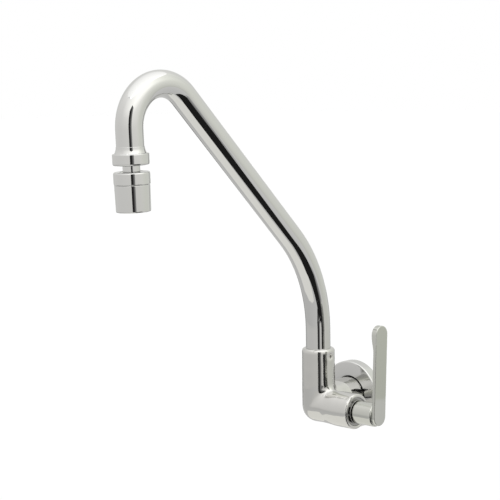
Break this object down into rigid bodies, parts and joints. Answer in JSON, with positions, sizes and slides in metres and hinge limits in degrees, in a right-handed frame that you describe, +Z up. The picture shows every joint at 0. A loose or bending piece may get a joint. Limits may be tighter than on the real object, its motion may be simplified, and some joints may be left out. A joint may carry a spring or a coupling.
{
  "type": "wall faucet",
  "caption": "Wall faucet with a cast body on a round flange, a high bent spout that swivels, a flat quarter-turn lever and a ball-jointed aerator.",
  "frame": {"origin": "centre of the wall flange's back face, on the axis of the inlet thread", "axes": "+Y along the inlet thread into the wall, so the faucet stands out towards -Y; +X along the valve axis towards the lever; +Z up"},
  "size_m": [0.0875, 0.2594, 0.2849],
  "materials": {
    "chromed_brass": "polished chrome plate on cast and drawn brass",
    "bare_brass": "turned, unplated",
    "stainless_steel": "bright stainless steel",
    "black_rubber": "smooth moulded rubber",
    "grey_fibre": "pressed fibre sheet",
    "grey_foam": "closed-cell foam rubber",
    "white_ceramic": "lapped alumina",
    "white_acetal": "moulded acetal",
    "pale_plastic": "moulded, slightly translucent"
  },
  "bodies": {
    "body": {"valve_body": "chromed_brass", "wall_flange": "chromed_brass", "flange_seal": "grey_foam", "flange_grip_ring": "black_rubber", "inlet_nipple": "bare_brass", "inlet_gasket": "grey_fibre", "inlet_strainer": "stainless_steel", "cartridge_body": "bare_brass", "cartridge_o_ring": "black_rubber", "cartridge_seat_seal": "black_rubber", "fixed_ceramic_disc": "white_ceramic", "spindle_slip_washer": "white_acetal", "retaining_nut": "chromed_brass", "spout_lock_screw": "stainless_steel", "sleeve_thrust_washer": "white_acetal"},
    "handle": {"lever_handle": "chromed_brass", "spline_insert": "bare_brass", "handle_grub_screw": "stainless_steel", "spindle": "bare_brass", "moving_ceramic_disc": "white_ceramic", "spindle_o_rings": "black_rubber", "spindle_clip": "stainless_steel"},
    "spout": {"spout_tube": "chromed_brass", "spout_spigot": "bare_brass", "spigot_o_rings": "black_rubber", "spigot_glide_ring": "white_acetal", "outlet_collar": "chromed_brass", "stem_gasket": "black_rubber", "ball_stem": "chromed_brass"},
    "aerator_ring": {"ball_slip_ring": "white_acetal"},
    "aerator": {"aerator_cap": "chromed_brass", "ball_seat": "white_acetal", "aerator_shell": "chromed_brass", "aerator_washer": "black_rubber", "aerator_insert": "pale_plastic", "aerator_screens": "stainless_steel", "aerator_grid": "pale_plastic"}
  },
  "joints": [
    {"name": "handle_turn", "type": "hinge", "parent": "body", "child": "handle", "pos_m": [0, -0.0453, -0.0019], "axis": [1, 0, 0], "range_deg": [0, 90]},
    {"name": "spout_swivel", "type": "hinge", "parent": "body", "child": "spout", "pos_m": [0, -0.0453, -0.0019], "axis": [0, 0, 1], "range_deg": [-95, 95]},
    {"name": "aerator_spin", "type": "hinge", "parent": "spout", "child": "aerator_ring", "pos_m": [0, -0.23223, 0.18327], "axis": [0, 0.0332, -0.9995], "continuous": true},
    {"name": "aerator_tilt", "type": "hinge", "parent": "aerator_ring", "child": "aerator", "pos_m": [0, -0.23223, 0.18327], "axis": [1, 0, 0], "range_deg": [-15, 15]}
  ]
}
